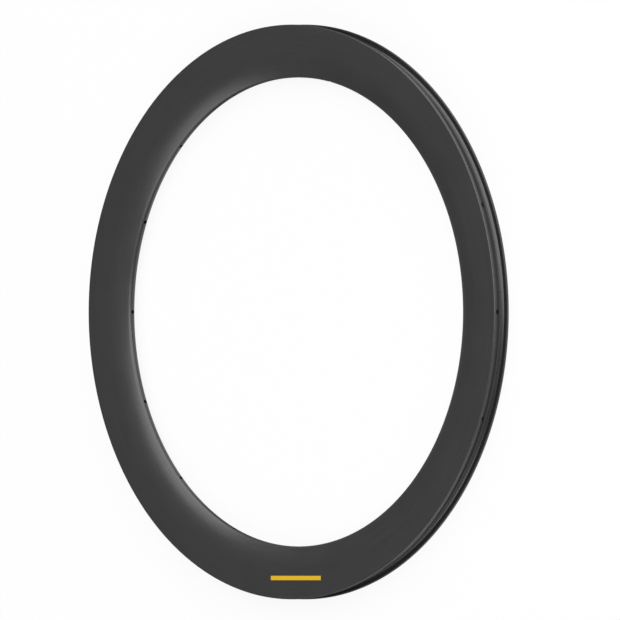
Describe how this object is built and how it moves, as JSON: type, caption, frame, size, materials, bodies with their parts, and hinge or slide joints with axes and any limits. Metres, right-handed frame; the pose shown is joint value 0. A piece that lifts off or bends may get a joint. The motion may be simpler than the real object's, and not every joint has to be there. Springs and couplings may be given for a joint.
{
  "type": "bicycle rim",
  "caption": "Deep-section bicycle rim with flat side walls, a round nose with spoke holes and a hooked tyre channel.",
  "frame": {"origin": "the wheel's centre, on the middle plane of the rim", "axes": "+Z along the axle line and up as the rim lies on its side; +X and +Y through spoke holes"},
  "size_m": [0.6339, 0.634, 0.023],
  "materials": {
    "rim": "matte dark grey fibre composite"
  },
  "bodies": {
    "root": {"rim": "rim"}
  },
  "joints": []
}
